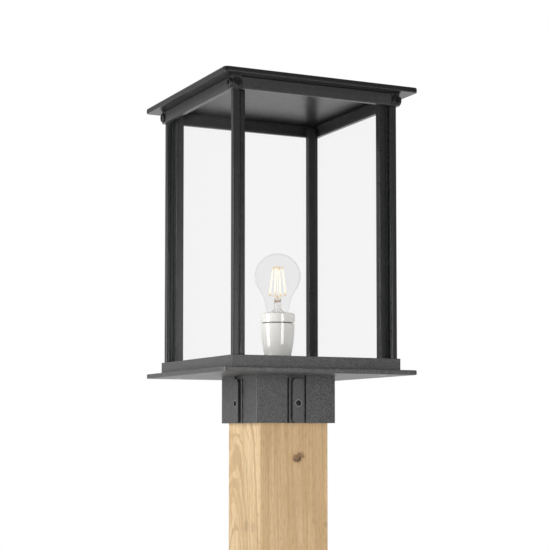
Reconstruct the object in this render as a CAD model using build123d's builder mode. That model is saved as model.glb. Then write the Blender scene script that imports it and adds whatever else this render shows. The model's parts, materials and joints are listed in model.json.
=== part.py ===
from build123d import *
from math import asin, cos, degrees, sin
import os

os.makedirs("parts", exist_ok=True)

# Garden lamp post: a flat-roofed square glass lantern on a square wooden post.
# Millimetres, Z up, the front faces -Y, and the origin is the middle of the post's foot.

# Driving heights
post_length = 635.5
collar_height = 60.0
base_thickness = 6.0
body_height = 352.0
roof_thickness = 6.5

# Driving widths, each of a square centred on the post
post_side = 97.0
body_side = 232.0

# How far the larger squares stand out beyond the glass body on each side
base_overhang = 16.0
ring_overhang = 1.0
roof_overhang = 18.0

# Wooden post
post_edge_radius = 3.0
cable_bore = 25.0
grommet_recess_bore = 34.0
grommet_recess_depth = 4.0

# Collar: sleeve, corner panels, mid-face rails and their wood screws
sleeve_gap = 0.3
sleeve_wall = 3.6
panel_thickness = 3.0
panel_half_opening = 13.2
panel_edge_radius = 2.0
rail_foot_width = 22.2
rail_foot_rise = 0.8
rail_foot_edge_radius = 1.0
rail_web_width = 9.4
rail_web_rise = 3.6
rail_head_width = 15.8
rail_head_rise = 5.2
rail_head_edge_radius = 0.8
rail_top_margin = 3.5
rail_corner_radius = 5.5
wood_screw_height = 25.0
wood_screw_recess_bore = 7.0
wood_screw_recess_depth = 4.6
wood_screw_head_diameter = 6.6
wood_screw_head_height = 2.4
wood_screw_diameter = 4.0
wood_screw_length = 36.0
screw_hole_gap = 0.1

# Base plate and the grommet in it
base_corner_radius = 4.0
base_edge_radius = 1.2
grommet_neck_diameter = 16.0
grommet_flange_diameter = 22.0
grommet_flange_height = 2.5
grommet_bore = 8.0

# Upright frame round the foot of the glass
sill_height = 15.0
sill_thickness = 2.4
sill_edge_radius = 0.8

# Corner posts: an outer and an inner bar set corner to corner, joined by a small web
outer_bar_side = 9.2
inner_bar_side = 10.6
bar_web_side = 4.0
outer_bar_edge_radius = 2.4
inner_bar_edge_radius = 1.2
inner_bar_drop = 5.0
inner_bar_top_radius = 2.5
port_diameter = 4.2
port_screw_head_diameter = 8.6
port_screw_diameter = 4.0
port_screw_length = 24.0

# Panes and their rubber
glass_thickness = 4.0
pane_side_gap = 0.4
pane_top_gap = 2.0
sill_rubber_foot = 1.5
sill_rubber_drop = 2.0
seal_gap = 0.3
seal_height = 11.0
seal_drop = 2.0

# Roof: plate, frame bars, corner pieces and clamp screws
roof_corner_radius = 6.0
roof_edge_radius = 1.5
ring_height = 15.0
ring_thickness = 6.0
ring_edge_radius = 1.0
corner_leg_length = 12.7
corner_fit_gap = 0.2
corner_joint_gap = 0.5
corner_edge_radius = 2.5
clamp_screw_offset = 6.2
clamp_screw_rise = 7.3
clamp_head_diameter = 12.0
clamp_head_height = 2.4
clamp_head_edge_radius = 1.0
clamp_socket_width = 5.0
clamp_socket_depth = 1.6
clamp_shank_diameter = 4.0
clamp_tip_gap = 0.1

# Bridge that carries the lampholder
bridge_height = 20.0
bridge_width = 24.0
bridge_top_length = 44.0
bridge_foot_length = 13.0
bridge_sheet = 2.0
bridge_bend_radius = 1.2
bridge_slot_length = 18.0
bridge_slot_width = 9.0
bridge_screw_diameter = 4.0
bridge_screw_head_diameter = 7.6
bridge_screw_head_height = 2.6
bridge_screw_length = 7.0

# Lampholder
holder_screw_spacing = 22.0
holder_screw_diameter = 3.5
holder_screw_head_diameter = 6.6
holder_screw_head_height = 2.2
holder_screw_depth = 13.0
holder_body_height = 42.7
holder_foot_diameter = 34.4
holder_top_diameter = 44.2
holder_foot_radius = 2.0
holder_groove_depth = 2.4
holder_groove_height = 2.0
holder_cavity_depth = 18.0
wire_hole_diameter = 4.0
wire_hole_spacing = 13.0
holder_ring_diameter = 45.0
holder_ring_height = 12.0
holder_ring_radius = 2.5
shell_bore = 27.6
shell_wall = 0.7
shell_pocket_gap = 0.2
contact_width = 6.0
contact_sheet = 0.6
contact_rise = 3.4
contact_length = 12.0

# Bulb, size A60 with a 27 mm screw cap
bulb_diameter = 60.0
bulb_length = 105.0
bulb_wall = 1.0
bulb_neck_rise = 3.6
bulb_neck_diameter = 31.4
bulb_foot_diameter = 25.0
bulb_foot_depth = 3.0
bulb_cap_diameter = 26.2
bulb_cap_length = 23.6
bulb_cap_wall = 0.4
bulb_cap_taper = 2.5
insulator_height = 2.6
insulator_top_diameter = 21.0
insulator_foot_diameter = 12.0
tip_diameter = 9.6
tip_height = 1.2
tip_gap = 0.1
stem_flare_gap = 0.1
stem_flare_height = 1.2
stem_cone_height = 8.0
stem_diameter = 9.0
stem_height = 22.0
filament_count = 4
filament_length = 38.0
filament_diameter = 2.0
filament_foot_radius = 11.0
filament_top_radius = 6.2
filament_foot_rise = 3.2
lead_diameter = 0.8
lead_sink = 1.0

# Levels that follow from the heights
collar_level = post_length - collar_height
base_level = post_length
deck_level = base_level + base_thickness
roof_level = deck_level + body_height
ring_level = roof_level - ring_height
holder_level = deck_level + bridge_height
holder_top_level = holder_level + holder_body_height + holder_groove_height
cavity_level = holder_top_level - holder_cavity_depth
bulb_level = cavity_level + contact_rise + tip_gap
bulb_cap_level = bulb_level + tip_height + insulator_height
bulb_cap_top = bulb_cap_level + bulb_cap_length
bulb_centre_level = bulb_level + bulb_length - bulb_diameter / 2

# Sides of the squares that follow from the driving widths
base_side = body_side + 2 * base_overhang
ring_side = body_side + 2 * ring_overhang
roof_side = body_side + 2 * roof_overhang

# Distances from the middle that follow from the widths
half_post = post_side / 2
half_body = body_side / 2
half_ring = ring_side / 2
sleeve_face = half_post + sleeve_gap + sleeve_wall
half_collar = sleeve_face + panel_thickness
rail_face = half_collar + rail_head_rise
outer_bar_face = half_body - sill_thickness
bar_meeting = outer_bar_face - outer_bar_side
inner_bar_centre = bar_meeting - inner_bar_side / 2
pane_outer_face = bar_meeting + glass_thickness
pane_half_width = bar_meeting - bar_web_side / 2 - pane_side_gap
pane_level = deck_level + sill_rubber_foot
pane_height = roof_level - pane_top_gap - pane_level
ring_inner_face = half_ring - ring_thickness
bridge_screw_place = bridge_top_length / 2 + bridge_foot_length / 2

# The four sides and corners, as equal turns about the post's axis
side_names = ("front", "right", "back", "left")
corner_names = ("front_left", "front_right", "back_right", "back_left")
side_turns = {name: 360 * place / len(side_names) for place, name in enumerate(side_names)}
corner_turns = {name: 360 * place / len(corner_names) for place, name in enumerate(corner_names)}


def side_plane(turn, distance, height):
    """Plane on one side: x runs along the face, y is up and z points outward."""
    outward = Vector(0, -1, 0).rotate(Axis.Z, turn)
    along = Vector(1, 0, 0).rotate(Axis.Z, turn)
    return Plane(origin=outward * distance + Vector(0, 0, height), x_dir=along, z_dir=outward)


# Wooden post, bored for the supply cable, with a recess for the grommet
with BuildPart() as timber_post:
    with BuildSketch(Plane.XY):
        RectangleRounded(post_side, post_side, post_edge_radius)
    extrude(amount=post_length)
    with Locations(Plane.XY.offset(post_length)):
        CounterBoreHole(cable_bore / 2, grommet_recess_bore / 2, grommet_recess_depth)
    for turn in side_turns.values():
        with BuildSketch(side_plane(turn, half_post, collar_level + wood_screw_height)):
            Circle(wood_screw_diameter / 2 + screw_hole_gap)
        screw_end = rail_face - wood_screw_recess_depth - wood_screw_length
        extrude(amount=-(half_post - screw_end), mode=Mode.SUBTRACT)
timber_post.part.label = "timber_post"
export_step(timber_post.part, "parts/timber_post.step")

# Sleeve that grips the top of the post and carries the base plate
with BuildPart() as collar_sleeve:
    with BuildSketch(Plane.XY.offset(collar_level)):
        Rectangle(2 * sleeve_face, 2 * sleeve_face)
        Rectangle(post_side + 2 * sleeve_gap, post_side + 2 * sleeve_gap, mode=Mode.SUBTRACT)
    extrude(amount=collar_height)
    for turn in side_turns.values():
        with BuildSketch(side_plane(turn, sleeve_face, collar_level + wood_screw_height)):
            Circle(wood_screw_diameter / 2 + screw_hole_gap)
        extrude(amount=-(sleeve_face - half_post), mode=Mode.SUBTRACT)
collar_sleeve.part.label = "collar_sleeve"
export_step(collar_sleeve.part, "parts/collar_sleeve.step")

# Corner panels of the collar, one angle at each corner
with BuildPart() as collar_panel:
    with BuildSketch(Plane.XY.offset(collar_level)):
        leg = half_collar - panel_half_opening
        with Locations((-half_collar, -half_collar)):
            Rectangle(leg, leg, align=(Align.MIN, Align.MIN))
        with Locations((-sleeve_face, -sleeve_face)):
            Rectangle(leg, leg, align=(Align.MIN, Align.MIN), mode=Mode.SUBTRACT)
    extrude(amount=collar_height)
    fillet(
        collar_panel.edges().filter_by(Axis.Z).sort_by(SortBy.DISTANCE)[-1],
        radius=panel_edge_radius,
    )
for corner, turn in corner_turns.items():
    panel = collar_panel.part.rotate(Axis.Z, turn)
    panel.label = f"collar_panel_{corner}"
    export_step(panel, f"parts/collar_panel_{corner}.step")

# Rails in the middle of each face: foot, web and a raised head with round top corners
with BuildPart() as collar_rail:
    rail_height = collar_height - rail_top_margin
    with BuildSketch(Plane.XY.offset(collar_level)):
        with Locations((0, -sleeve_face)):
            Rectangle(rail_foot_width, panel_thickness + rail_foot_rise, align=(Align.CENTER, Align.MAX))
    extrude(amount=rail_height)
    foot_rims = collar_rail.faces().sort_by(Axis.Y)[0].edges().filter_by(Axis.Z)
    fillet(foot_rims, radius=rail_foot_edge_radius)
    with BuildSketch(Plane.XY.offset(collar_level)):
        with Locations((0, -sleeve_face)):
            Rectangle(rail_web_width, panel_thickness + rail_web_rise, align=(Align.CENTER, Align.MAX))
    extrude(amount=rail_height)
    with BuildSketch(side_plane(0, half_collar + rail_web_rise, collar_level)) as rail_head:
        Rectangle(rail_head_width, rail_height, align=(Align.CENTER, Align.MIN))
        fillet(rail_head.vertices().group_by(Axis.Z)[-1], radius=rail_corner_radius)
    extrude(amount=rail_head_rise - rail_web_rise)
    head_rims = collar_rail.faces().sort_by(Axis.Y)[0].edges().sort_by(Axis.Z)[1:]
    fillet(head_rims, radius=rail_head_edge_radius)
    with BuildSketch(side_plane(0, rail_face, collar_level + wood_screw_height)):
        Circle(wood_screw_recess_bore / 2)
    extrude(amount=-wood_screw_recess_depth, mode=Mode.SUBTRACT)
    with BuildSketch(side_plane(0, rail_face, collar_level + wood_screw_height)):
        Circle(wood_screw_diameter / 2 + screw_hole_gap)
    extrude(amount=-(rail_face - sleeve_face), mode=Mode.SUBTRACT)
for side, turn in side_turns.items():
    rail = collar_rail.part.rotate(Axis.Z, turn)
    rail.label = f"collar_rail_{side}"
    export_step(rail, f"parts/collar_rail_{side}.step")

# Wood screws through the rails
with BuildPart() as collar_screws:
    for turn in side_turns.values():
        screw_seat = rail_face - wood_screw_recess_depth
        with BuildSketch(side_plane(turn, screw_seat, collar_level + wood_screw_height)):
            Circle(wood_screw_head_diameter / 2)
        extrude(amount=wood_screw_head_height)
        with BuildSketch(side_plane(turn, screw_seat, collar_level + wood_screw_height)):
            Circle(wood_screw_diameter / 2)
        extrude(amount=-wood_screw_length)
collar_screws.part.label = "collar_screws"
export_step(collar_screws.part, "parts/collar_screws.step")

# Base plate with holes for the grommet, the bridge screws and the corner posts' screws
with BuildPart() as base_plate:
    with BuildSketch(Plane.XY.offset(base_level)):
        RectangleRounded(base_side, base_side, base_corner_radius)
    extrude(amount=base_thickness)
    rims = base_plate.edges().group_by(Axis.Z)
    fillet(rims[0] + rims[-1], radius=base_edge_radius)
    with BuildSketch(Plane.XY.offset(base_level)):
        Circle(grommet_neck_diameter / 2)
    extrude(amount=base_thickness, mode=Mode.SUBTRACT)
    with BuildSketch(Plane.XY.offset(deck_level)):
        with GridLocations(2 * bridge_screw_place, 0, 2, 1):
            Circle(bridge_screw_diameter / 2 + screw_hole_gap)
    extrude(amount=-(bridge_screw_length - bridge_sheet), mode=Mode.SUBTRACT)
    with Locations(Plane((0, 0, base_level), x_dir=(1, 0, 0), z_dir=(0, 0, -1))):
        with GridLocations(2 * inner_bar_centre, 2 * inner_bar_centre, 2, 2):
            CounterSinkHole(port_screw_diameter / 2 + screw_hole_gap, port_screw_head_diameter / 2,
                            depth=base_thickness, counter_sink_angle=90)
base_plate.part.label = "base_plate"
export_step(base_plate.part, "parts/base_plate.step")

# Rubber grommet for the supply cable, seated in the base plate
with BuildPart() as cable_grommet:
    with BuildSketch(Plane.XZ):
        with BuildLine():
            Polyline(
                (grommet_bore / 2, base_level - grommet_flange_height),
                (grommet_flange_diameter / 2, base_level - grommet_flange_height),
                (grommet_flange_diameter / 2, base_level),
                (grommet_neck_diameter / 2, base_level),
                (grommet_neck_diameter / 2, deck_level),
                (grommet_flange_diameter / 2, deck_level),
                (grommet_flange_diameter / 2, deck_level + grommet_flange_height),
                (grommet_bore / 2, deck_level + grommet_flange_height),
                close=True,
            )
        make_face()
    revolve(axis=Axis.Z)
cable_grommet.part.label = "cable_grommet"
export_step(cable_grommet.part, "parts/cable_grommet.step")

# Upright frame: the front and back bars run through, the side bars fit between them
for side, turn in side_turns.items():
    runs_through = side in ("front", "back")
    bar_length = body_side if runs_through else body_side - 2 * sill_thickness
    with BuildPart() as sill_bar:
        with BuildSketch(side_plane(turn, outer_bar_face, deck_level)):
            Rectangle(bar_length, sill_height, align=(Align.CENTER, Align.MIN))
        extrude(amount=sill_thickness)
        top_rims = sill_bar.edges().group_by(Axis.Z)[-1].filter_by(lambda edge: edge.length > sill_height)
        fillet(top_rims, radius=sill_edge_radius)
    sill_bar.part.label = f"sill_bar_{side}"
    export_step(sill_bar.part, f"parts/sill_bar_{side}.step")

# Corner posts: the outer bar shows outside, the inner bar backs the glass and ends below the roof
with BuildPart() as corner_post:
    with BuildSketch(Plane.XY.offset(deck_level)):
        with Locations((-inner_bar_centre, -inner_bar_centre)):
            RectangleRounded(inner_bar_side, inner_bar_side, inner_bar_edge_radius)
    inner_bar_height = body_height - inner_bar_drop
    extrude(amount=inner_bar_height)
    for turn in (0, 90):
        with BuildSketch(side_plane(turn, 0, deck_level)) as bar_outline:
            with Locations((-inner_bar_centre, 0), (inner_bar_centre, 0)):
                Rectangle(inner_bar_side, inner_bar_height, align=(Align.CENTER, Align.MIN))
            fillet(bar_outline.vertices().group_by(Axis.Z)[-1], radius=inner_bar_top_radius)
        extrude(amount=half_body, both=True, mode=Mode.INTERSECT)
    with BuildSketch(Plane.XY.offset(deck_level)) as outer_profile:
        with Locations((-outer_bar_face, -outer_bar_face)):
            Rectangle(outer_bar_side, outer_bar_side, align=(Align.MIN, Align.MIN))
        fillet(outer_profile.vertices(), radius=outer_bar_edge_radius)
        with Locations((-bar_meeting, -bar_meeting)):
            Rectangle(bar_web_side, bar_web_side)
    extrude(amount=body_height)
    with BuildSketch(Plane.XY.offset(deck_level)):
        outer_bar_centre = outer_bar_face - outer_bar_side / 2
        with Locations((-outer_bar_centre, -outer_bar_centre), (-inner_bar_centre, -inner_bar_centre)):
            Circle(port_diameter / 2)
    extrude(amount=body_height, mode=Mode.SUBTRACT)
for corner, turn in corner_turns.items():
    post = corner_post.part.rotate(Axis.Z, turn)
    post.label = f"corner_post_{corner}"
    export_step(post, f"parts/corner_post_{corner}.step")

# Countersunk screws from under the base plate into the ports of the inner bars
with BuildPart() as port_screws:
    with BuildSketch(Plane.XY.offset(base_level)):
        with GridLocations(2 * inner_bar_centre, 2 * inner_bar_centre, 2, 2):
            Circle(port_screw_diameter / 2)
    extrude(amount=port_screw_length)
    for turn in corner_turns.values():
        spot = Vector(-inner_bar_centre, -inner_bar_centre, base_level).rotate(Axis.Z, turn)
        head_height = (port_screw_head_diameter - port_screw_diameter) / 2
        with Locations(Plane(spot)):
            Cone(port_screw_head_diameter / 2, port_screw_diameter / 2, head_height,
                 align=(Align.CENTER, Align.CENTER, Align.MIN))
port_screws.part.label = "port_screws"
export_step(port_screws.part, "parts/port_screws.step")

# Panes, each resting on its rubber sill and against the inner bars
with BuildPart() as pane:
    with BuildSketch(side_plane(0, bar_meeting, pane_level)):
        Rectangle(2 * pane_half_width, pane_height, align=(Align.CENTER, Align.MIN))
    extrude(amount=glass_thickness)
for side, turn in side_turns.items():
    glass = pane.part.rotate(Axis.Z, turn)
    glass.label = f"pane_{side}"
    export_step(glass, f"parts/pane_{side}.step")

# Rubber sills: a foot under the pane and a leg that fills the space to the upright frame
with BuildPart() as sill_rubbers:
    for turn in side_turns.values():
        with BuildSketch(side_plane(turn, outer_bar_face, deck_level)):
            Rectangle(2 * pane_half_width, sill_height - sill_rubber_drop, align=(Align.CENTER, Align.MIN))
        extrude(amount=-(outer_bar_face - pane_outer_face))
        with BuildSketch(side_plane(turn, outer_bar_face, deck_level)):
            Rectangle(2 * pane_half_width, sill_rubber_foot, align=(Align.CENTER, Align.MIN))
        extrude(amount=-outer_bar_side)
sill_rubbers.part.label = "sill_rubbers"
export_step(sill_rubbers.part, "parts/sill_rubbers.step")

# Roof plate
with BuildPart() as roof_plate:
    with BuildSketch(Plane.XY.offset(roof_level)):
        RectangleRounded(roof_side, roof_side, roof_corner_radius)
    extrude(amount=roof_thickness)
    rims = roof_plate.edges().group_by(Axis.Z)
    fillet(rims[0] + rims[-1], radius=roof_edge_radius)
roof_plate.part.label = "roof_plate"
export_step(roof_plate.part, "parts/roof_plate.step")

# Frame bars under the roof, between the corner pieces
with BuildPart() as roof_bar:
    ring_half_length = half_ring - corner_leg_length - corner_joint_gap
    with BuildSketch(side_plane(0, ring_inner_face, ring_level)):
        Rectangle(2 * ring_half_length, ring_height, align=(Align.CENTER, Align.MIN))
    extrude(amount=ring_thickness)
    outer_rims = roof_bar.edges().filter_by(Axis.X).group_by(Axis.Y)[0]
    fillet(outer_rims, radius=ring_edge_radius)
for side, turn in side_turns.items():
    bar = roof_bar.part.rotate(Axis.Z, turn)
    bar.label = f"roof_bar_{side}"
    export_step(bar, f"parts/roof_bar_{side}.step")

# Foam seals on the inside of the frame bars, just clear of the glass
with BuildPart() as roof_seals:
    for turn in side_turns.values():
        with BuildSketch(side_plane(turn, ring_inner_face, roof_level - seal_drop)):
            Rectangle(2 * pane_half_width, seal_height, align=(Align.CENTER, Align.MAX))
        extrude(amount=-(ring_inner_face - pane_outer_face - seal_gap))
roof_seals.part.label = "roof_seals"
export_step(roof_seals.part, "parts/roof_seals.step")

# Corner pieces that drop over the tops of the corner posts, bored for two clamp screws each
with BuildPart() as roof_corner:
    inner_face = outer_bar_face + corner_fit_gap
    with BuildSketch(Plane.XY.offset(ring_level)):
        with Locations((-half_ring, -half_ring)):
            Rectangle(corner_leg_length, corner_leg_length, align=(Align.MIN, Align.MIN))
        with Locations((-inner_face, -inner_face)):
            Rectangle(corner_leg_length, corner_leg_length, align=(Align.MIN, Align.MIN), mode=Mode.SUBTRACT)
    extrude(amount=ring_height)
    fillet(
        roof_corner.edges().filter_by(Axis.Z).sort_by(SortBy.DISTANCE)[-1],
        radius=corner_edge_radius,
    )
    screw_place = half_ring - clamp_screw_offset
    for turn, end in ((0, -1), (270, 1)):
        with BuildSketch(side_plane(turn, half_ring, ring_level + clamp_screw_rise)):
            with Locations((end * screw_place, 0)):
                Circle(clamp_shank_diameter / 2 + screw_hole_gap)
        extrude(amount=-(half_ring - inner_face), mode=Mode.SUBTRACT)
for corner, turn in corner_turns.items():
    piece = roof_corner.part.rotate(Axis.Z, turn)
    piece.label = f"roof_corner_{corner}"
    export_step(piece, f"parts/roof_corner_{corner}.step")

# Clamp screws, two on each side of the roof, whose tips bear on the corner posts
side_ends = {
    "front": ("left", "right"),
    "right": ("front", "back"),
    "back": ("right", "left"),
    "left": ("back", "front"),
}
for side, ends in side_ends.items():
    for end, name in zip((-1, 1), ends):
        with BuildPart() as clamp_screw:
            with BuildSketch(side_plane(side_turns[side], half_ring, ring_level + clamp_screw_rise)):
                with Locations((end * screw_place, 0)):
                    Circle(clamp_head_diameter / 2)
            extrude(amount=clamp_head_height)
            outward = side_plane(side_turns[side], 0, 0).z_dir
            head_rim = clamp_screw.edges().sort_by(Axis((0, 0, 0), outward))[-1]
            fillet(head_rim, radius=clamp_head_edge_radius)
            socket_plane = side_plane(side_turns[side], half_ring + clamp_head_height, ring_level + clamp_screw_rise)
            with BuildSketch(socket_plane):
                with Locations((end * screw_place, 0)):
                    RegularPolygon(clamp_socket_width / 2, 6, major_radius=False)
            extrude(amount=-clamp_socket_depth, mode=Mode.SUBTRACT)
            with BuildSketch(side_plane(side_turns[side], half_ring, ring_level + clamp_screw_rise)):
                with Locations((end * screw_place, 0)):
                    Circle(clamp_shank_diameter / 2)
            extrude(amount=-(half_ring - outer_bar_face - clamp_tip_gap))
        clamp_screw.part.label = f"roof_screw_{side}_{name}"
        export_step(clamp_screw.part, f"parts/roof_screw_{side}_{name}.step")

# Bent steel bridge under the lampholder
with BuildPart() as holder_bridge:
    with BuildSketch(Plane.XZ) as bridge_profile:
        with Locations((0, holder_level)):
            Rectangle(bridge_top_length, bridge_sheet, align=(Align.CENTER, Align.MAX))
        with Locations((-bridge_top_length / 2, deck_level)):
            Rectangle(bridge_sheet, bridge_height, align=(Align.MIN, Align.MIN))
            Rectangle(bridge_foot_length, bridge_sheet, align=(Align.MAX, Align.MIN))
        with Locations((bridge_top_length / 2, deck_level)):
            Rectangle(bridge_sheet, bridge_height, align=(Align.MAX, Align.MIN))
            Rectangle(bridge_foot_length, bridge_sheet, align=(Align.MIN, Align.MIN))
    extrude(amount=bridge_width / 2, both=True)
    bends = holder_bridge.edges().filter_by(Axis.Y).group_by(Axis.Z)[-1]
    fillet(bends, radius=bridge_bend_radius)
    with BuildSketch(Plane.XY.offset(deck_level)):
        with GridLocations(2 * bridge_screw_place, 0, 2, 1):
            Circle(bridge_screw_diameter / 2 + screw_hole_gap)
    extrude(amount=bridge_sheet, mode=Mode.SUBTRACT)
    with BuildSketch(Plane.XY.offset(holder_level)):
        SlotOverall(bridge_slot_length, bridge_slot_width, rotation=90)
        with GridLocations(holder_screw_spacing, 0, 2, 1):
            Circle(holder_screw_diameter / 2 + screw_hole_gap)
    extrude(amount=-bridge_sheet, mode=Mode.SUBTRACT)
holder_bridge.part.label = "holder_bridge"
export_step(holder_bridge.part, "parts/holder_bridge.step")

# Screws that hold the bridge to the base plate
with BuildPart() as bridge_screws:
    with BuildSketch(Plane.XY.offset(deck_level + bridge_sheet)):
        with GridLocations(2 * bridge_screw_place, 0, 2, 1):
            Circle(bridge_screw_head_diameter / 2)
    extrude(amount=bridge_screw_head_height)
    with BuildSketch(Plane.XY.offset(deck_level + bridge_sheet)):
        with GridLocations(2 * bridge_screw_place, 0, 2, 1):
            Circle(bridge_screw_diameter / 2)
    extrude(amount=-bridge_screw_length)
bridge_screws.part.label = "bridge_screws"
export_step(bridge_screws.part, "parts/bridge_screws.step")

# Porcelain body of the lampholder: a curved taper, a groove under the ring, two wire holes
with BuildPart() as holder_body:
    with BuildSketch(Plane.XZ):
        with BuildLine():
            body_top = holder_level + holder_body_height
            groove_radius = holder_top_diameter / 2 - holder_groove_depth
            taper = TangentArc(
                (holder_top_diameter / 2, body_top),
                (holder_foot_diameter / 2, holder_level),
                tangent=(0, -1),
            )
            Polyline(
                taper @ 1,
                (0, holder_level),
                (0, holder_top_level),
                (groove_radius, holder_top_level),
                (groove_radius, body_top),
                taper @ 0,
            )
        make_face()
    revolve(axis=Axis.Z)
    fillet(holder_body.edges().group_by(Axis.Z)[0], radius=holder_foot_radius)
    with BuildSketch(Plane.XY.offset(holder_top_level)):
        Circle(shell_bore / 2 + shell_wall + shell_pocket_gap)
    extrude(amount=-holder_cavity_depth, mode=Mode.SUBTRACT)
    with BuildSketch(Plane.XY.offset(holder_level)):
        with GridLocations(holder_screw_spacing, 0, 2, 1):
            Circle(holder_screw_diameter / 2 + screw_hole_gap)
    extrude(amount=holder_screw_depth - bridge_sheet, mode=Mode.SUBTRACT)
    with BuildSketch(Plane.XY.offset(holder_level)):
        with GridLocations(0, wire_hole_spacing, 1, 2):
            Circle(wire_hole_diameter / 2)
    extrude(amount=cavity_level - holder_level, mode=Mode.SUBTRACT)
holder_body.part.label = "holder_body"
export_step(holder_body.part, "parts/holder_body.step")

# Porcelain ring screwed on the body, which holds the threaded shell down
with BuildPart() as holder_ring:
    with BuildSketch(Plane.XY.offset(holder_top_level)):
        Circle(holder_ring_diameter / 2)
        Circle(shell_bore / 2, mode=Mode.SUBTRACT)
    extrude(amount=holder_ring_height)
    fillet(holder_ring.edges().group_by(Axis.Z)[-1], radius=holder_ring_radius)
holder_ring.part.label = "holder_ring"
export_step(holder_ring.part, "parts/holder_ring.step")

# Metal shell that takes the bulb's screw cap
with BuildPart() as holder_shell:
    with BuildSketch(Plane.XY.offset(cavity_level)):
        Circle(shell_bore / 2 + shell_wall)
        Circle(shell_bore / 2, mode=Mode.SUBTRACT)
    extrude(amount=holder_cavity_depth)
holder_shell.part.label = "holder_shell"
export_step(holder_shell.part, "parts/holder_shell.step")

# Centre contact: a springy hairpin of sheet on the floor of the cavity
with BuildPart() as holder_contact:
    with BuildSketch(Plane.XZ):
        with BuildLine():
            low = cavity_level + contact_sheet / 2
            high = cavity_level + contact_rise - contact_sheet / 2
            bend = (high - low) / 2
            foot = Line((-contact_length / 2, low), (contact_length / 2 - bend, low))
            turn_up = ThreePointArc(foot @ 1, (contact_length / 2, low + bend), (contact_length / 2 - bend, high))
            Line(turn_up @ 1, (-contact_length / 3, high))
        trace(line_width=contact_sheet)
    extrude(amount=contact_width / 2, both=True)
holder_contact.part.label = "holder_contact"
export_step(holder_contact.part, "parts/holder_contact.step")

# Screws that hold the lampholder on its bridge, driven from below
with BuildPart() as holder_screws:
    with BuildSketch(Plane.XY.offset(holder_level - bridge_sheet)):
        with GridLocations(holder_screw_spacing, 0, 2, 1):
            Circle(holder_screw_head_diameter / 2)
    extrude(amount=-holder_screw_head_height)
    with BuildSketch(Plane.XY.offset(holder_level - bridge_sheet)):
        with GridLocations(holder_screw_spacing, 0, 2, 1):
            Circle(holder_screw_diameter / 2)
    extrude(amount=holder_screw_depth)
holder_screws.part.label = "holder_screws"
export_step(holder_screws.part, "parts/holder_screws.step")

# Glass of the bulb: a ball that runs through a hollow curve into the neck
with BuildPart() as bulb_glass:
    ball_radius = bulb_diameter / 2
    neck_radius = bulb_neck_diameter / 2
    foot_radius = bulb_foot_diameter / 2
    neck_level = bulb_cap_top + bulb_neck_rise
    neck_drop = bulb_centre_level - neck_level
    fillet_radius = (neck_drop ** 2 + neck_radius ** 2 - ball_radius ** 2) / (2 * (ball_radius - neck_radius))
    leave_angle = asin(neck_drop / (ball_radius + fillet_radius))
    with BuildSketch(Plane.XZ):
        with BuildLine():
            crown = CenterArc((0, bulb_centre_level), ball_radius, 90, -90 - degrees(leave_angle))
            hollow = TangentArc(
                crown @ 1,
                (neck_radius, neck_level),
                tangent=(-sin(leave_angle), -cos(leave_angle)),
            )
            Polyline(
                hollow @ 1,
                (foot_radius, bulb_cap_top),
                (foot_radius, bulb_cap_top - bulb_foot_depth),
                (0, bulb_cap_top - bulb_foot_depth),
                crown @ 0,
            )
        make_face()
    revolve(axis=Axis.Z)
    offset(amount=-bulb_wall, openings=bulb_glass.faces().sort_by(Axis.Z)[0])
bulb_glass.part.label = "bulb_glass"
export_step(bulb_glass.part, "parts/bulb_glass.step")

# Screw cap of the bulb, a thin cup with a hole for the tip's insulator
with BuildPart() as bulb_cap:
    with BuildSketch(Plane.XZ):
        with BuildLine():
            cap_radius = bulb_cap_diameter / 2
            Polyline(
                (insulator_foot_diameter / 2, bulb_cap_level),
                (insulator_top_diameter / 2, bulb_cap_level),
                (cap_radius, bulb_cap_level + bulb_cap_taper),
                (cap_radius, bulb_cap_top),
                (cap_radius - bulb_cap_wall, bulb_cap_top),
                (cap_radius - bulb_cap_wall, bulb_cap_level + bulb_cap_taper),
                (insulator_top_diameter / 2 - bulb_cap_wall, bulb_cap_level + bulb_cap_wall),
                (insulator_foot_diameter / 2, bulb_cap_level + bulb_cap_wall),
                close=True,
            )
        make_face()
    revolve(axis=Axis.Z)
bulb_cap.part.label = "bulb_cap"
export_step(bulb_cap.part, "parts/bulb_cap.step")

# Insulator and contact tip under the cap
with BuildPart() as bulb_insulator:
    with Locations((0, 0, bulb_level + tip_height)):
        Cone(insulator_foot_diameter / 2, insulator_top_diameter / 2, insulator_height,
             align=(Align.CENTER, Align.CENTER, Align.MIN))
bulb_insulator.part.label = "bulb_insulator"
export_step(bulb_insulator.part, "parts/bulb_insulator.step")

with BuildPart() as bulb_tip:
    with BuildSketch(Plane.XY.offset(bulb_level)):
        Circle(tip_diameter / 2)
    extrude(amount=tip_height)
    fillet(bulb_tip.edges().group_by(Axis.Z)[0], radius=tip_height / 2)
bulb_tip.part.label = "bulb_tip"
export_step(bulb_tip.part, "parts/bulb_tip.step")

# Glass stem: a flare that closes the neck, a cone and the post that holds the leads
stem_level = bulb_cap_top - bulb_foot_depth
stem_top = stem_level + stem_height
with BuildPart() as bulb_stem:
    with BuildSketch(Plane.XZ):
        with BuildLine():
            flare_radius = foot_radius - bulb_wall - stem_flare_gap
            Polyline(
                (0, stem_level),
                (flare_radius, stem_level),
                (flare_radius, stem_level + stem_flare_height),
                (stem_diameter / 2, stem_level + stem_cone_height),
                (stem_diameter / 2, stem_top),
                (0, stem_top),
                close=True,
            )
        make_face()
    revolve(axis=Axis.Z)
bulb_stem.part.label = "bulb_stem"
export_step(bulb_stem.part, "parts/bulb_stem.step")

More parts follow.
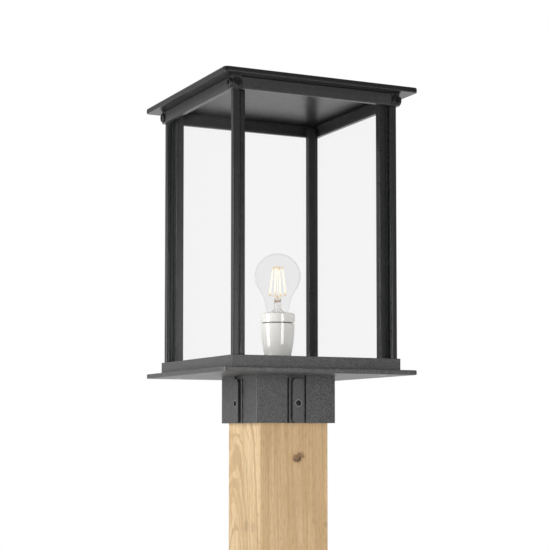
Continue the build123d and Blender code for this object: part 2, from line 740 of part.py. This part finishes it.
# Filaments: leaning rods on wire leads that spread from the stem and meet again on a middle wire
filament_foot = stem_top + filament_foot_rise
filament_lean = filament_foot_radius - filament_top_radius
filament_drop = (filament_length ** 2 - filament_lean ** 2) ** 0.5
filament_head = filament_foot + filament_drop
with BuildPart() as bulb_filaments:
    with BuildSketch(Plane.XY.offset(stem_top)):
        Circle(lead_diameter / 2)
    extrude(amount=filament_head + lead_sink - stem_top)
    for k in range(filament_count):
        spread = Vector(1, 0, 0).rotate(Axis.Z, 45 + 360 * k / filament_count)
        foot_point = spread * filament_foot_radius + Vector(0, 0, filament_foot)
        head_point = spread * filament_top_radius + Vector(0, 0, filament_head)
        runs = (
            (foot_point, head_point, filament_diameter),
            (Vector(0, 0, stem_top + lead_sink), foot_point + Vector(0, 0, lead_sink), lead_diameter),
            (Vector(0, 0, filament_head), head_point - Vector(0, 0, lead_sink), lead_diameter),
        )
        for start, finish, diameter in runs:
            with BuildSketch(Plane(start, z_dir=finish - start)):
                Circle(diameter / 2)
            extrude(amount=(finish - start).length)
bulb_filaments.part.label = "bulb_filaments"
export_step(bulb_filaments.part, "parts/bulb_filaments.step")
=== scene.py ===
import json
import math

import bmesh
import bpy
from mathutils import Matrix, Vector

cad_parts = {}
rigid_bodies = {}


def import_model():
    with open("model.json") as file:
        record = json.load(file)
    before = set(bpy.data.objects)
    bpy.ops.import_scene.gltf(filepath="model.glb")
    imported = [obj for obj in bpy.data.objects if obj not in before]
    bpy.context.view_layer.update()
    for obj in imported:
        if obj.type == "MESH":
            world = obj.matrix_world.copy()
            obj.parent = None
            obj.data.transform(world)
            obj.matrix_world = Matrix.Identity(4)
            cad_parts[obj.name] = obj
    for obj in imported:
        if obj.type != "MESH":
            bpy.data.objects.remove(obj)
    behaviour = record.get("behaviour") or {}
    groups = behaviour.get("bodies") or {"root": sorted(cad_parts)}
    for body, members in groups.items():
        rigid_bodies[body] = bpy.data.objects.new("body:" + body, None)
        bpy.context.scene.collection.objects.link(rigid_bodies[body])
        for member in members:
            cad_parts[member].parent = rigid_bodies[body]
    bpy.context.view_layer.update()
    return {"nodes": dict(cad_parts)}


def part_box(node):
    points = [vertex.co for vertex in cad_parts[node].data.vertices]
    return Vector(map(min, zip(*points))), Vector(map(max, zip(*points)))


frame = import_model()
nodes = frame["nodes"]
print("lamp post: frame loaded,", len(nodes), "nodes")


class Wire:
    # one socket of a node tree; Python's operators on it add the nodes
    def __init__(self, tree, socket=None):
        self.tree = tree
        self.socket = socket

    def node(self, kind, settings=None, sockets=None, out=0):
        # any node: its settings first, then the values or links of its sockets
        made = self.tree.nodes.new(kind)
        for key, value in (settings or {}).items():
            if key == "stops":
                ramp = made.color_ramp
                while len(ramp.elements) < len(value):
                    ramp.elements.new(0.5)
                for element, (place, tone) in zip(ramp.elements, value):
                    element.position = place
                    element.color = (*tone, 1.0)
            else:
                setattr(made, key, value)
        for key, value in (sockets or {}).items():
            target = made.inputs[key]
            if isinstance(value, Wire):
                self.tree.links.new(value.socket, target)
                continue
            if target.type in ("RGBA", "VECTOR") and not isinstance(value, tuple):
                value = (value, value, value)
            if target.type == "RGBA":
                value = (*value, 1.0)
            target.default_value = value
        return Wire(self.tree, made.outputs[out] if len(made.outputs) else None)

    def other(self, out):
        # another output of the same node
        return Wire(self.tree, self.socket.node.outputs[out])

    def combine(self, operation, first, second):
        kinds = {value.socket.type for value in (first, second) if isinstance(value, Wire)}
        if "RGBA" in kinds:
            return self.node("ShaderNodeMix", {"data_type": "RGBA", "blend_type": operation},
                             {0: 1.0, 6: first, 7: second}, 2)
        kind = "ShaderNodeVectorMath" if "VECTOR" in kinds else "ShaderNodeMath"
        return self.node(kind, {"operation": operation}, {0: first, 1: second})

    def __add__(self, other):
        return self.combine("ADD", self, other)

    def __radd__(self, other):
        return self.combine("ADD", other, self)

    def __sub__(self, other):
        return self.combine("SUBTRACT", self, other)

    def __rsub__(self, other):
        return self.combine("SUBTRACT", other, self)

    def __mul__(self, other):
        return self.combine("MULTIPLY", self, other)

    def __rmul__(self, other):
        return self.combine("MULTIPLY", other, self)

    def __truediv__(self, other):
        return self.combine("DIVIDE", self, other)

    def __rtruediv__(self, other):
        return self.combine("DIVIDE", other, self)

    def __pow__(self, other):
        return self.combine("POWER", self, other)

    def __rpow__(self, other):
        return self.combine("POWER", other, self)

    def __matmul__(self, other):
        return self.node("ShaderNodeVectorMath", {"operation": "DOT_PRODUCT"}, {0: self, 1: other}, "Value")

    def __rmatmul__(self, other):
        return self.node("ShaderNodeVectorMath", {"operation": "DOT_PRODUCT"}, {0: other, 1: self}, "Value")

    def __abs__(self):
        return self.node("ShaderNodeMath", {"operation": "ABSOLUTE"}, {0: self})


def abs3(vector):
    return vector.node("ShaderNodeVectorMath", {"operation": "ABSOLUTE"}, {0: vector})


def length(vector):
    return vector.node("ShaderNodeVectorMath", {"operation": "LENGTH"}, {0: vector}, "Value")


def split(vector):
    # its x, y and z
    axes = vector.node("ShaderNodeSeparateXYZ", {}, {"Vector": vector})
    return axes, axes.other("Y"), axes.other("Z")


def spread(value, low, high, toLow=0.0, toHigh=1.0):
    # takes low..high to toLow..toHigh with soft ends
    return value.node("ShaderNodeMapRange", {"interpolation_type": "SMOOTHSTEP"}, {
        "Value": value, "From Min": low, "From Max": high, "To Min": toLow, "To Max": toHigh})


def within(value, low, high):
    # 1 below low and 0 above high
    return spread(value, low, high, 1.0, 0.0)


def between(mask, ends):
    # the first number where the mask is 0, the second where it is 1
    low, high = ends
    return low + (high - low) * mask


def noise(vector, scale, detail, roughness):
    # the scale counts per metre
    return vector.node("ShaderNodeTexNoise", {}, {
        "Vector": vector, "Scale": scale, "Detail": detail, "Roughness": roughness})


def blend(factor, first, second):
    # one colour into another
    return factor.node("ShaderNodeMix", {"data_type": "RGBA"}, {0: factor, 6: first, 7: second}, 2)


def mixed(factor, first, second):
    # one shader into another
    return factor.node("ShaderNodeMixShader", {}, {0: factor, 1: first, 2: second})


def bump(height, strength, distance):
    return height.node("ShaderNodeBump", {}, {"Height": height, "Strength": strength, "Distance": distance})


def outline(root):
    # 0 where a surface faces the viewer, 1 where it turns away
    return root.node("ShaderNodeLayerWeight", {}, {"Blend": 0.5}, "Facing")


def newMaterial(name):
    # an empty material, its tree and the place on the piece, which moves with the piece
    material = bpy.data.materials.new(name)
    material.use_nodes = True
    material.node_tree.nodes.clear()
    root = Wire(material.node_tree)
    return material, root, root.node("ShaderNodeTexCoord", {}, {}, "Object")


def finished(material, shader):
    shader.node("ShaderNodeOutputMaterial", {}, {"Surface": shader})
    return material


# here and below, three numbers for a noise are its scale, detail and roughness, and two levels are
# where a mask starts and ends
glaze = {
    "thick": (0.92, 0.91, 0.88),
    "thin": (0.88, 0.87, 0.835),
    "patches": (60.0, 3.0, 0.6),
    "patchLevels": (0.3, 0.7),
    "roughness": (0.10, 0.15),
    "gloss": 0.7,
    "glossRoughness": 0.04,
    "bump": 0.12,
    "bumpDepth": 0.0001,
    # the painted shade in the groove under the ring: its fall below the ring, half height and radius
    "grooveShade": (0.17, 0.165, 0.155),
    "grooveShadeFall": 0.001,
    "grooveShadeHalf": (0.0006, 0.0009),
    "grooveShadeRadius": (0.0202, 0.0208),
}


def glazedPorcelain():
    # off-white glaze, thinner here and there, and painted shade in the groove under the ring
    material, root, place = newMaterial("glazedPorcelain")
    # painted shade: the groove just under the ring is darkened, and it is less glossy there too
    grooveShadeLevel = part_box("holder_ring")[0][2] - glaze["grooveShadeFall"]
    grooveShade = within(abs(split(place)[2] - grooveShadeLevel), *glaze["grooveShadeHalf"])
    grooveShade = grooveShade * within(length(place * (1.0, 1.0, 0.0)), *glaze["grooveShadeRadius"])
    thin = spread(noise(place, *glaze["patches"]), *glaze["patchLevels"])
    shader = root.node("ShaderNodeBsdfPrincipled", {}, {
        "Base Color": blend(grooveShade, blend(thin, glaze["thick"], glaze["thin"]), glaze["grooveShade"]),
        "Roughness": between(thin, glaze["roughness"]),
        "Coat Weight": glaze["gloss"] - glaze["gloss"] * grooveShade,
        "Coat Roughness": glaze["glossRoughness"],
        "Normal": bump(thin, glaze["bump"], glaze["bumpDepth"]),
    })
    return finished(material, shader)


# grain and mottle are noises; dark and pale are the greys between which they vary
smooth = {"bump": 0.03, "grain": (1100.0, 2.0, 0.6), "mottle": (40.0, 3.0, 0.55)}
coats = {
    # the roof plate and its ring bars share one powder coat: the plate's darker copy is painted shade and the
    # ring's lighter copy is painted light
    "shadedPlateCoat": {"dark": 0.008, "pale": 0.013, "roughness": (0.27, 0.33), **smooth},
    "litRingCoat": {"dark": 0.034, "pale": 0.046, "roughness": (0.27, 0.33), **smooth},
    "postCoat": {"dark": 0.016, "pale": 0.024, "roughness": (0.23, 0.28), **smooth},
    "collarCoat": {"dark": 0.034, "pale": 0.100, "roughness": (0.36, 0.44),
                   "bump": 0.18, "grain": (860.0, 2.0, 0.6), "mottle": (120.0, 3.0, 0.55)},
    "screwCoat": {"dark": 0.008, "pale": 0.016, "roughness": (0.16, 0.26),
                  "bump": 0.10, "grain": (900.0, 2.0, 0.6), "mottle": (90.0, 3.0, 0.55)},
}
powder = {"grainShare": 0.9, "mottleShare": 0.1, "levels": (0.40, 0.60), "bumpDepth": 0.0002}
# painted shade inside the collar's screw recesses and a painted highlight on their rims
recess = {
    "radius": 0.0037,
    "radiusSoft": 0.0002,
    "shadow": (0.002, 0.002, 0.002),
    "rim": 0.0046,
    "rimSoft": 0.0003,
    "rimHighlight": (0.30, 0.30, 0.29),
    "rimHighlightShare": 0.6,
}


def screwRecess(place, tone):
    # painted shade, near-black, inside the recesses of the collar's screws, and a painted highlight on their
    # rim
    low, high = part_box("collar_screws")
    x, y, z = split(abs3(place))
    aside = x.node("ShaderNodeMath", {"operation": "MINIMUM"}, {0: x, 1: y})
    up = z - (low[2] + high[2]) / 2
    away = (aside * aside + up * up) ** 0.5
    rim = within(away, recess["rim"] - recess["rimSoft"], recess["rim"] + recess["rimSoft"])
    hole = within(away, recess["radius"] - recess["radiusSoft"], recess["radius"] + recess["radiusSoft"])
    return blend(hole, blend(rim * recess["rimHighlightShare"], tone, recess["rimHighlight"]), recess["shadow"])


def blackCoat(name):
    # powder coat: fine specks over a faint mottle
    coat = coats[name]
    material, root, place = newMaterial(name)
    grain = noise(place, *coat["grain"])
    mottle = noise(place, *coat["mottle"])
    mask = spread(grain * powder["grainShare"] + mottle * powder["mottleShare"], *powder["levels"])
    tone = blend(mask, (coat["dark"],) * 3, (coat["pale"],) * 3)
    if name == "collarCoat":
        # painted shade in the screw recesses and a painted highlight on their rims
        tone = screwRecess(place, tone)
    shader = root.node("ShaderNodeBsdfPrincipled", {}, {
        "Base Color": tone,
        "Roughness": between(mask, coat["roughness"]),
        "Normal": bump(grain, coat["bump"], powder["bumpDepth"]),
    })
    return finished(material, shader)


timber = {
    "pale": (0.690, 0.510, 0.298),
    "warm": (0.560, 0.386, 0.203),
    "dark": (0.300, 0.180, 0.085),
    "olive": (0.560, 0.440, 0.235),
    "roughness": (0.5, 0.7),
    "bump": 0.22,
    "bumpDepth": 0.0003,
    # the flat-sawn front and back: how far out they start, how much warmer they are,
    # and how much of the pith's lean they lose
    "flatFrom": (0.0466, 0.0482),
    "flatTint": (0.965, 0.905, 0.835),
    "flatUpright": 0.85,
    # where the tree's middle ran, at the height of pithLevel
    "pith": (-0.078, 0.026),
    "pithLevel": 0.50,
    "pithLean": 0.24,
    # the rings count per metre across; ringsUp is how fast they change along the post
    "rings": 175.0,
    "ringsUp": 1.5,
    "ringNoise": (1.0, 2.0, 0.55),
    "ringLevels": (0.46, 0.60),
    # how far the rings sway: on the sides, and how much less on the flat-sawn faces; and the knot's push
    "swayAcross": (0.036, 0.024),
    "swayDeep": 0.010,
    "rippleDepth": 0.0045,
    "knotPush": 0.006,
    "knotReach": (60.0, 30.0, 40.0),
    # how strongly each layer shows; the pairs are for the sides, and how much less on the flat-sawn faces
    "broadShare": 0.42,
    "patchShare": 0.42,
    "ringShare": (0.72, 0.34),
    "lateShare": (0.40, 0.26),
    "latePower": 3.0,
    "streakShare": 0.62,
    "poreShare": 0.22,
    "bumpShares": (0.5, 0.3, 0.2),     # of streaks, pores and rings
    "knot": {"middle": (0.0038, -0.0485, 0.5308), "size": (0.0070, 0.02, 0.0062),
             "colour": (0.100, 0.050, 0.018), "share": 0.95},
    "knotTail": {"middle": (0.0092, -0.0485, 0.5345), "size": (0.0062, 0.02, 0.0044),
                 "colour": (0.27, 0.150, 0.062), "share": 0.9},
    "knotHalo": {"reach": 0.45, "levels": (0.2, 1.1), "colour": (0.42, 0.23, 0.10), "share": 0.30},
    "marks": [
        {"middle": (-0.0485, -0.0085, 0.4450), "size": (0.01, 0.0080, 0.0085)},
        {"middle": (-0.0485, -0.0290, 0.4445), "size": (0.01, 0.0080, 0.0080)},
        {"middle": (0.0455, -0.0485, 0.4468), "size": (0.005, 0.01, 0.0035)},
    ],
    "markColour": (0.20, 0.135, 0.090),
    "markShare": 0.26,
    "blotLevels": (0.55, 1.15),
    "raggedness": 0.8,
}
# stretch counts per metre along x, y and z
fibres = {
    "sway": {"stretch": (12.0, 12.0, 13.0), "detail": 3.0, "roughness": 0.55},
    "ripple": {"stretch": (60.0, 60.0, 50.0), "detail": 2.0, "roughness": 0.5},
    "ragged": {"stretch": (340.0, 340.0, 340.0), "detail": 2.0, "roughness": 0.5},
    "streaks": {"stretch": (430.0, 175.0, 6.0), "detail": 2.0, "roughness": 0.6, "levels": (0.43, 0.57)},
    "pores": {"stretch": (560.0, 250.0, 90.0), "detail": 2.0, "roughness": 0.6, "levels": (0.48, 0.66)},
    "broad": {"stretch": (26.0, 26.0, 9.0), "detail": 2.0, "roughness": 0.5, "levels": (0.40, 0.62)},
    "patch": {"stretch": (22.0, 22.0, 17.0), "shift": 3.7, "detail": 2.0, "roughness": 0.5,
              "levels": (0.46, 0.62)},
    "heart": {"stretch": (230.0, 230.0, 260.0), "detail": 3.0, "roughness": 0.6, "levels": (0.44, 0.56)},
}


def fibre(place, name):
    # one of the timber's noises: a mask where it has levels, and a sway about 0 where it has none
    kind = fibres[name]
    stretched = place * kind["stretch"]
    if "shift" in kind:
        stretched = stretched + kind["shift"]
    tone = noise(stretched, 1.0, kind["detail"], kind["roughness"])
    return spread(tone, *kind["levels"]) if "levels" in kind else tone - 0.5


def farness(place, spot, reach=1.0):
    # 0 in the middle of a spot and 1 at its rim, or further out where reach is less than 1
    return length((place - spot["middle"]) * tuple(reach / size for size in spot["size"]))


def blot(place, spot, ragged):
    # 1 in the middle of a spot, 0 outside it, with a ragged rim
    return within(farness(place, spot) + ragged, *timber["blotLevels"])


def planedTimber():
    # growth rings about a leaning pith, finer streaks and pores over them, then the knot and the marks
    material, root, place = newMaterial("planedTimber")
    x, y, z = split(place)
    flat = spread(abs(y), *timber["flatFrom"])
    knot, tail, halo = timber["knot"], timber["knotTail"], timber["knotHalo"]

    pithX, pithY = timber["pith"]
    swaySide, swayLess = timber["swayAcross"]
    sway = fibre(place, "sway")
    near = within(length((place - knot["middle"]) * timber["knotReach"]), 0.0, 1.0)
    lean = (z - timber["pithLevel"]) * timber["pithLean"] * (1.0 - flat * timber["flatUpright"])
    dx = x - pithX + lean + sway * (swaySide - flat * swayLess) + near * timber["knotPush"]
    dy = y - pithY + sway * timber["swayDeep"]
    radius = (dx * dx + dy * dy) ** 0.5 + fibre(place, "ripple") * timber["rippleDepth"]
    along = root.node("ShaderNodeCombineXYZ", {}, {
        "X": radius * timber["rings"], "Y": z * timber["ringsUp"], "Z": 0.0})
    rings = spread(noise(along, *timber["ringNoise"]), *timber["ringLevels"])
    streaks = fibre(place, "streaks")
    pores = fibre(place, "pores")

    ringShare, ringLess = timber["ringShare"]
    lateShare, lateLess = timber["lateShare"]
    base = blend(fibre(place, "broad") * timber["broadShare"], timber["pale"], timber["warm"])
    base = blend(fibre(place, "patch") * timber["patchShare"], base, timber["olive"])
    base = blend(rings * (ringShare - flat * ringLess), base, timber["warm"])
    base = blend(rings ** timber["latePower"] * (lateShare - flat * lateLess), base, timber["dark"])
    base = blend(streaks * timber["streakShare"], base, timber["warm"])
    base = blend(pores * timber["poreShare"], base, timber["dark"])
    base = base * blend(flat, (1.0, 1.0, 1.0), timber["flatTint"])

    ragged = fibre(place, "ragged") * timber["raggedness"]
    haloMask = within(farness(place, knot, halo["reach"]), *halo["levels"])
    heart = blend(fibre(place, "heart"), knot["colour"], tail["colour"])
    base = blend(haloMask * halo["share"], base, halo["colour"])
    base = blend(blot(place, tail, ragged) * tail["share"], base, tail["colour"])
    base = blend(blot(place, knot, ragged) * knot["share"], base, heart)
    for mark in timber["marks"]:
        base = blend(blot(place, mark, ragged) * timber["markShare"], base, timber["markColour"])

    streakRise, poreRise, ringRise = timber["bumpShares"]
    relief = streaks * streakRise + pores * poreRise + rings * ringRise
    shader = root.node("ShaderNodeBsdfPrincipled", {}, {
        "Base Color": base,
        "Roughness": between(streaks, timber["roughness"]),
        "Normal": bump(relief, timber["bump"], timber["bumpDepth"]),
    })
    return finished(material, shader)


pane = {
    "tint": 0.980,
    # the mirror's share: head on, and how late it rises towards the outline
    "least": 0.006,
    "grazing": 9.0,
    "waver": (0.94, 1.06),
    "waverNoise": (14.0, 1.0, 0.4),
    # the cut edge; edgeTurn is the cosine to the pane's large faces below which it shows
    "edge": (0.035, 0.045, 0.042),
    "edgeRoughness": 0.25,
    "edgeCover": 0.8,
    "edgeTurn": (0.4, 0.6),
}


def paneGlass(name, axis):
    # clear on its two large faces, and dark where the cut edge shows
    material, root, place = newMaterial(name)
    waver = between(noise(place, *pane["waverNoise"]), pane["waver"])
    gloss = (pane["least"] + (1.0 - pane["least"]) * outline(root) ** pane["grazing"]) * waver
    clear = root.node("ShaderNodeBsdfTransparent", {}, {"Color": pane["tint"]})
    mirror = root.node("ShaderNodeBsdfGlossy", {}, {"Color": 1.0, "Roughness": 0.0})
    cutEdge = root.node("ShaderNodeBsdfPrincipled", {}, {
        "Base Color": pane["edge"], "Roughness": pane["edgeRoughness"], "Alpha": pane["edgeCover"]})
    normal = root.node("ShaderNodeNewGeometry", {}, {}, "True Normal")
    onEdge = within(abs(normal @ axis), *pane["edgeTurn"])
    return finished(material, mixed(onEdge, mixed(gloss, clear, mirror), cutEdge))


bulbGlass = {
    "tint": 0.980,
    "rim": (0.27, 0.28, 0.27),
    "rimRoughness": 0.04,
    "rimLeast": 0.008,
    "rimPower": 13.0,
    "waver": (0.9, 1.1),
    "waverNoise": (30.0, 1.0, 0.4),
}


def blownGlass():
    # thin clear glass whose outline darkens
    material, root, place = newMaterial("blownGlass")
    waver = between(noise(place, *bulbGlass["waverNoise"]), bulbGlass["waver"])
    amount = bulbGlass["rimLeast"] + outline(root) ** bulbGlass["rimPower"] * waver
    clear = root.node("ShaderNodeBsdfTransparent", {}, {"Color": bulbGlass["tint"]})
    rim = root.node("ShaderNodeBsdfPrincipled", {}, {
        "Base Color": bulbGlass["rim"], "Roughness": bulbGlass["rimRoughness"]})
    return finished(material, mixed(amount, clear, rim))


stem = {
    "tint": 0.992,
    "copper": (0.62, 0.42, 0.26),
    "copperDark": 0.55,                # the dark streaks' share of that colour
    "roughness": 0.15,
    "streakStretch": (500.0, 500.0, 160.0),
    "streakNoise": (1.0, 2.0, 0.6),
    "streakLevels": (0.40, 0.62),
    # how much copper shows in a pale and in a dark streak: at the sides, at the pinch, and all over
    "sides": (0.30, 0.95),
    "sidePower": 2.5,
    "pinch": (0.3, 1.0),
    "pinchPower": 2.0,
    "pinchFall": 0.0035,
    "pinchHalf": (0.0006, 0.0026),
    "overall": 0.14,
}


def stemGlass():
    # clear stem, coppery along both sides and at its pinch, where the leads pass
    material, root, place = newMaterial("stemGlass")
    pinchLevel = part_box("bulb_stem")[1][2] - stem["pinchFall"]
    side = outline(root)
    pinch = within(abs(split(place)[2] - pinchLevel), *stem["pinchHalf"]) * (1.0 - side) ** stem["pinchPower"]
    streak = spread(noise(place * stem["streakStretch"], *stem["streakNoise"]), *stem["streakLevels"])
    amount = side ** stem["sidePower"] * between(streak, stem["sides"])
    amount = amount + pinch * between(streak, stem["pinch"]) + streak * stem["overall"]
    clear = root.node("ShaderNodeBsdfTransparent", {}, {"Color": stem["tint"]})
    darkCopper = tuple(part * stem["copperDark"] for part in stem["copper"])
    copper = root.node("ShaderNodeBsdfPrincipled", {}, {
        "Base Color": blend(streak, stem["copper"], darkCopper), "Roughness": stem["roughness"]})
    return finished(material, mixed(amount, clear, copper))


rods = {
    "strength": 1.12,
    "glow": (1.0, 0.945, 0.79),
    "ends": (0.74, 0.63, 0.40),
    "leads": (0.30, 0.20, 0.09),
    "unlit": (0.25, 0.19, 0.10),
    "roughness": 0.5,
    # along the rods' height from 0 to 1: their middle, and how far from it the ends start
    "middle": 0.53,
    "endsFrom": (0.30, 0.44),
    "specks": (700.0, 1.0, 0.5),
    "speckLevels": (0.35, 0.65),
    "speckShare": 0.7,
}


def glowingRods():
    # white-hot rods with yellow ends
    material, root, place = newMaterial("glowingRods")
    low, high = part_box("bulb_filaments")
    up = (split(place)[2] - low[2]) / (high[2] - low[2])
    ends = spread(abs(up - rods["middle"]), *rods["endsFrom"])
    speck = spread(noise(place, *rods["specks"]), *rods["speckLevels"])
    tone = blend(ends, rods["glow"], blend(speck * rods["speckShare"], rods["ends"], rods["leads"]))
    shader = root.node("ShaderNodeBsdfPrincipled", {}, {
        "Base Color": rods["unlit"], "Roughness": rods["roughness"],
        "Emission Color": tone, "Emission Strength": rods["strength"]})
    return finished(material, shader)


plainFinishes = {
    "plainSteel": {"colour": (0.50, 0.50, 0.51), "roughness": 0.35, "metallic": 1.0},
    "plainBrass": {"colour": (0.76, 0.58, 0.28), "roughness": 0.32, "metallic": 1.0},
    "capSheet": {"colour": (0.30, 0.30, 0.30), "roughness": 0.35, "metallic": 1.0},
    "blackRubber": {"colour": (0.012, 0.012, 0.013), "roughness": 0.75, "metallic": 0.0},
    "blackInsulator": {"colour": (0.02, 0.02, 0.02), "roughness": 0.2, "metallic": 0.0},
}
plainMottle = {
    "specks": (300.0, 3.0, 0.6),
    "levels": (0.3, 0.7),
    "darker": 0.12,
    "roughness": (0.8, 1.2),           # times the finish's own
    "bump": 0.15,
    "bumpDepth": 0.0001,
}


def plain(name):
    # a finish with a light mottle in colour, roughness and surface
    finish = plainFinishes[name]
    material, root, place = newMaterial(name)
    speck = noise(place, *plainMottle["specks"])
    mask = spread(speck, *plainMottle["levels"])
    darker = tuple(part * (1.0 - plainMottle["darker"]) for part in finish["colour"])
    shader = root.node("ShaderNodeBsdfPrincipled", {}, {
        "Base Color": blend(mask, darker, finish["colour"]),
        "Roughness": finish["roughness"] * between(mask, plainMottle["roughness"]),
        "Metallic": finish["metallic"],
        "Normal": bump(speck, plainMottle["bump"], plainMottle["bumpDepth"]),
    })
    return finished(material, shader)


coated = {name: blackCoat(name) for name in coats}
glassAcross = paneGlass("paneGlassAcross", (0.0, 1.0, 0.0))
glassAlong = paneGlass("paneGlassAlong", (1.0, 0.0, 0.0))
porcelain = glazedPorcelain()
steel = plain("plainSteel")
brass = plain("plainBrass")
rubber = plain("blackRubber")
finishes = {
    "timber_post": planedTimber(),
    "cable_grommet": rubber, "sill_rubbers": rubber, "roof_seals": rubber,
    "pane_front": glassAcross, "pane_back": glassAcross, "pane_left": glassAlong, "pane_right": glassAlong,
    "holder_body": porcelain, "holder_ring": porcelain,
    "holder_shell": brass, "holder_contact": brass, "bulb_tip": brass,
    "bulb_glass": blownGlass(), "bulb_stem": stemGlass(), "bulb_filaments": glowingRods(),
    "bulb_cap": plain("capSheet"), "bulb_insulator": plain("blackInsulator"),
    "port_screws": steel, "bridge_screws": steel, "holder_screws": steel, "holder_bridge": steel,
    # the roof plate in the darker copy of the coat, painted shade
    "collar_screws": coated["screwCoat"], "roof_plate": coated["shadedPlateCoat"],
}
# for the pieces that aren't named above: the first that fits, and else the corner posts' coat
finishByStart = {
    "roof_screw_": coated["screwCoat"],
    # the roof's ring bars and corners in the lighter copy of the coat, painted light
    "roof_": coated["litRingCoat"],
    "collar_": coated["collarCoat"],
    "base_": coated["collarCoat"],
    "sill_bar_": coated["collarCoat"],
}


def finishFor(name):
    if name in finishes:
        return finishes[name]
    fitting = (finish for start, finish in finishByStart.items() if name.startswith(start))
    return next(fitting, coated["postCoat"])


def dress(piece, material):
    for mesh in [piece, *piece.children_recursive]:
        if mesh.type != "MESH":
            continue
        if not mesh.material_slots:
            mesh.data.materials.append(material)
        for slot in mesh.material_slots:
            slot.material = material


for name in nodes:
    dress(nodes[name], finishFor(name))
print("lamp post: finishes on", len(nodes), "nodes")

floor = {"radius": 2.4, "sides": 96, "shade": 0.90, "fade": (0.35, 1.7)}


def paleFloor():
    # a matt disc that keeps the object's shadow and fades into white
    material, root, place = newMaterial("paleFloor")
    fade = spread(length(place * (1.0, 1.0, 0.0)), *floor["fade"])
    matt = root.node("ShaderNodeBsdfDiffuse", {}, {"Color": floor["shade"]})
    white = root.node("ShaderNodeEmission", {}, {"Color": 1.0, "Strength": 1.0})
    path = root.node("ShaderNodeLightPath", {}, {}, "Is Camera Ray")
    seen = path + path.other("Is Glossy Ray")
    finished(material, mixed(fade * seen, matt, white))
    mesh = bpy.data.meshes.new("paleFloor")
    build = bmesh.new()
    bmesh.ops.create_circle(build, cap_ends=True, segments=floor["sides"], radius=floor["radius"])
    build.to_mesh(mesh)
    build.free()
    mesh.materials.append(material)
    piece = bpy.data.objects.new("paleFloor", mesh)
    bpy.context.scene.collection.objects.link(piece)


paleFloor()


def turned(azimuth, distance, height):
    # a place round the lamp: azimuth 0 is in front of it and 90 on its left
    turn = math.radians(azimuth)
    return Vector((-math.sin(turn) * distance, -math.cos(turn) * distance, height))


# both end below the roof, whose top would mirror them in the views from behind
softboxes = {
    "keyLeft": {"azimuth": 94.0, "height": 0.69, "distance": 0.62, "size": (0.20, 0.60),
                "power": 3.0, "aim": 0.80},
    "keyRight": {"azimuth": -8.0, "height": 0.60, "distance": 1.9, "size": (0.6, 0.78),
                 "power": 9.9, "aim": 0.80},
}
for name, box in softboxes.items():
    light = bpy.data.lights.new(name, "AREA")
    light.shape = "RECTANGLE"
    light.size, light.size_y = box["size"]
    light.energy = box["power"]
    softbox = bpy.data.objects.new(name, light)
    softbox.location = turned(box["azimuth"], box["distance"], box["height"])
    way = Vector((0.0, 0.0, box["aim"])) - softbox.location
    softbox.rotation_euler = way.to_track_quat("-Z", "Y").to_euler()
    softbox.visible_camera = False
    bpy.context.scene.collection.objects.link(softbox)

studio = {
    "ambient": 0.70,
    # the room that gloss mirrors: its levels run from overhead and the dark side to the bright side
    "bright": (-0.434, 0.901, 0.0),    # the way to the bright side
    "overhead": 1.6,
    "shift": 2.2,
    "span": 3.2,
    "levels": ((0.0, 0.04), (0.375, 0.18), (0.66, 0.46), (0.80, 0.50)),
    # a darker stretch in front, and what a stretch behind the lamp adds
    "dim": (-0.434, -0.901, 0.0),
    "dimFrom": (0.72, 0.96),
    "dimLevel": 0.30,
    "behind": (0.434, 0.901, 0.0),
    "behindFrom": (0.80, 0.97),
    "behindLevel": 0.45,
}


def studioWorld():
    # white to the camera, plain ambient light, and for gloss a room that is bright behind and dark in front
    world = bpy.data.worlds.new("studio")
    bpy.context.scene.world = world
    world.use_nodes = True
    world.node_tree.nodes.clear()
    root = Wire(world.node_tree)
    way = root.node("ShaderNodeTexCoord", {}, {}, "Generated")
    over = spread(split(way)[2], 0.0, 1.0) * studio["overhead"]
    across = (way @ studio["bright"] - over + studio["shift"]) / studio["span"]
    level = root.node("ShaderNodeValToRGB", {
        "stops": [(stop, (tone, tone, tone)) for stop, tone in studio["levels"]]}, {"Fac": across})
    shade = spread(way @ studio["dim"], *studio["dimFrom"], 1.0, studio["dimLevel"])
    level = level + spread(way @ studio["behind"], *studio["behindFrom"], 0.0, studio["behindLevel"])
    seenWhite = root.node("ShaderNodeBackground", {}, {"Color": 1.0, "Strength": 1.0})
    mirrored = root.node("ShaderNodeBackground", {}, {"Color": level * shade, "Strength": 1.0})
    ambient = root.node("ShaderNodeBackground", {}, {"Color": 1.0, "Strength": studio["ambient"]})
    path = root.node("ShaderNodeLightPath", {}, {}, "Is Camera Ray")
    gloss = path.other("Is Glossy Ray") + path.other("Is Transmission Ray")
    shown = mixed(path, mixed(gloss, ambient, mirrored), seenWhite)
    root.node("ShaderNodeOutputWorld", {}, {"Surface": shown})


studioWorld()

view = {
    "azimuth": 25.698,
    "distance": 1.91798,
    "height": 0.55804,
    "aside": 0.102,                    # degrees from the post's middle
    "pitch": 3.165,
    "lens": 96.845,
    "sensor": 36.0,
    "clip": (0.05, 60.0),
    "rise": 0.14545,                   # part of the keystone correction of the photograph
}
camera = bpy.data.cameras.new("photoView")
camera.lens = view["lens"]
camera.sensor_width = view["sensor"]
camera.clip_start, camera.clip_end = view["clip"]
camera.shift_y = view["rise"]
eye = bpy.data.objects.new("photoView", camera)
eye.location = turned(view["azimuth"], view["distance"], view["height"])
heading = math.radians(view["azimuth"]) - math.radians(view["aside"])
pitch = math.radians(view["pitch"])
look = Vector((math.sin(heading) * math.cos(pitch), math.cos(heading) * math.cos(pitch), math.sin(pitch)))
eye.rotation_euler = look.to_track_quat("-Z", "Y").to_euler()
bpy.context.scene.collection.objects.link(eye)
bpy.context.scene.camera = eye
bpy.context.scene.view_settings.view_transform = "Standard"
bpy.context.scene.cycles.transparent_max_bounces = 24    # panes, bulb and stem lie behind one another
print("lamp post: stage, lamps and camera set")
